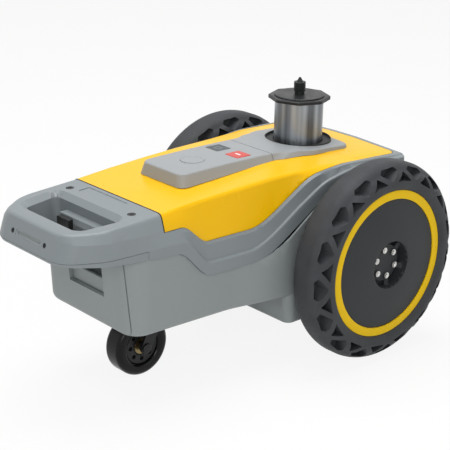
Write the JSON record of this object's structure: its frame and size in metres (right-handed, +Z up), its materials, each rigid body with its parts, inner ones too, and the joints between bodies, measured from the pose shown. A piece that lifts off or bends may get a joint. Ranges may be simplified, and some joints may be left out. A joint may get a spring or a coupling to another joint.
{
  "type": "layout marking robot",
  "caption": "Low wheeled floor-marking robot with moulded body, carrying handle, truss-pocket tyres, rear caster, battery drawer and a steel can sleeve topped by a survey prism spigot.",
  "frame": {"origin": "centre of the bounding box in plan, on the floor", "axes": "+Z up, +X forward towards the drive axle's end, +Y to the robot's left; the handle is at -X"},
  "size_m": [0.57, 0.3582, 0.346],
  "materials": {
    "shell_grey": "fine moulded texture",
    "tub_grey": "fine moulded texture",
    "cover_yellow": "satin moulded",
    "console_pale": "satin moulded",
    "trim_black": "satin",
    "display_dark": "smooth",
    "stop_red": "smooth",
    "sleeve_steel": "brushed",
    "black_steel": "satin black",
    "bright_steel": "bright",
    "plain_steel": "machined",
    "tyre_rubber": "moulded rubber",
    "wheel_black": "satin moulded",
    "ring_yellow": "smooth",
    "caster_rubber": "smooth",
    "brass": "worn",
    "motor_metal": "cast",
    "can_paint": "plain",
    "board_green": "coated board"
  },
  "bodies": {
    "chassis": {"board_standoffs": "trim_black", "can_guide": "trim_black", "canister_collar": "console_pale", "caster_plate": "black_steel", "caster_screws": "plain_steel", "console_panel": "console_pale", "control_board": "board_green", "drawer_rails": "trim_black", "end_plate_screws": "black_steel", "handle_end_plate": "trim_black", "handle_screws": "black_steel", "latch_keeper": "trim_black", "left_axle_bearing": "plain_steel", "left_gearmotor": "motor_metal", "left_motor_bracket": "plain_steel", "lower_tub": "tub_grey", "right_axle_bearing": "plain_steel", "right_gearmotor": "motor_metal", "right_motor_bracket": "plain_steel", "spray_head": "trim_black", "spray_nozzle": "trim_black", "status_display": "display_dark", "swivel_housing": "black_steel", "top_cover": "cover_yellow", "upper_shell": "shell_grey"},
    "left_wheel": {"left_tyre": "tyre_rubber", "left_wheel_disc": "wheel_black", "left_wheel_ring": "ring_yellow", "left_hub_flange": "motor_metal", "left_wheel_screws": "bright_steel", "left_axle_shaft": "plain_steel"},
    "right_wheel": {"right_tyre": "tyre_rubber", "right_wheel_disc": "wheel_black", "right_wheel_ring": "ring_yellow", "right_hub_flange": "motor_metal", "right_wheel_screws": "bright_steel", "right_axle_shaft": "plain_steel"},
    "caster_fork": {"caster_fork": "black_steel", "caster_axle": "black_steel"},
    "caster_wheel": {"caster_tyre": "caster_rubber", "caster_hub": "trim_black", "caster_bearings": "brass"},
    "battery_drawer": {"drawer_front": "tub_grey", "pull_pocket": "trim_black", "paddle_pin": "plain_steel", "drawer_tray": "plain_steel", "battery_pack": "trim_black"},
    "latch_paddle": {"latch_paddle": "tub_grey"},
    "can_carrier": {"can_sleeve": "sleeve_steel", "sleeve_cap": "black_steel", "cap_disc": "black_steel", "prism_spigot": "black_steel", "can_collar": "trim_black", "marking_can": "can_paint"},
    "power_button": {"power_button": "console_pale"},
    "stop_button": {"stop_button": "stop_red"}
  },
  "joints": [
    {"name": "left_wheel_spin", "type": "hinge", "parent": "chassis", "child": "left_wheel", "pos_m": [0.152, 0.149, 0.133], "axis": [0, 1, 0], "continuous": true},
    {"name": "right_wheel_spin", "type": "hinge", "parent": "chassis", "child": "right_wheel", "pos_m": [0.152, -0.149, 0.133], "axis": [0, 1, 0], "continuous": true},
    {"name": "caster_swivel", "type": "hinge", "parent": "chassis", "child": "caster_fork", "pos_m": [-0.102, 0, 0.086], "axis": [0, 0, 1], "continuous": true},
    {"name": "caster_roll", "type": "hinge", "parent": "caster_fork", "child": "caster_wheel", "pos_m": [-0.124, 0, 0.04], "axis": [0, 1, 0], "continuous": true},
    {"name": "drawer_slide", "type": "slide", "parent": "chassis", "child": "battery_drawer", "axis": [-1, 0, 0], "range_m": [0, 0.13]},
    {"name": "paddle_hinge", "type": "hinge", "parent": "battery_drawer", "child": "latch_paddle", "pos_m": [-0.19458, -0.005, 0.1417], "axis": [0, -1, 0], "range_deg": [0, 25], "stiffness_Nm_per_rad": 0.05},
    {"name": "can_lift", "type": "slide", "parent": "chassis", "child": "can_carrier", "axis": [0, 0, 1], "range_m": [0, 0.15]},
    {"name": "power_press", "type": "slide", "parent": "chassis", "child": "power_button", "axis": [0, 0, -1], "range_m": [0, 0.0015], "stiffness_N_per_m": 400},
    {"name": "stop_press", "type": "slide", "parent": "chassis", "child": "stop_button", "axis": [0, 0, -1], "range_m": [0, 0.002], "stiffness_N_per_m": 400}
  ]
}
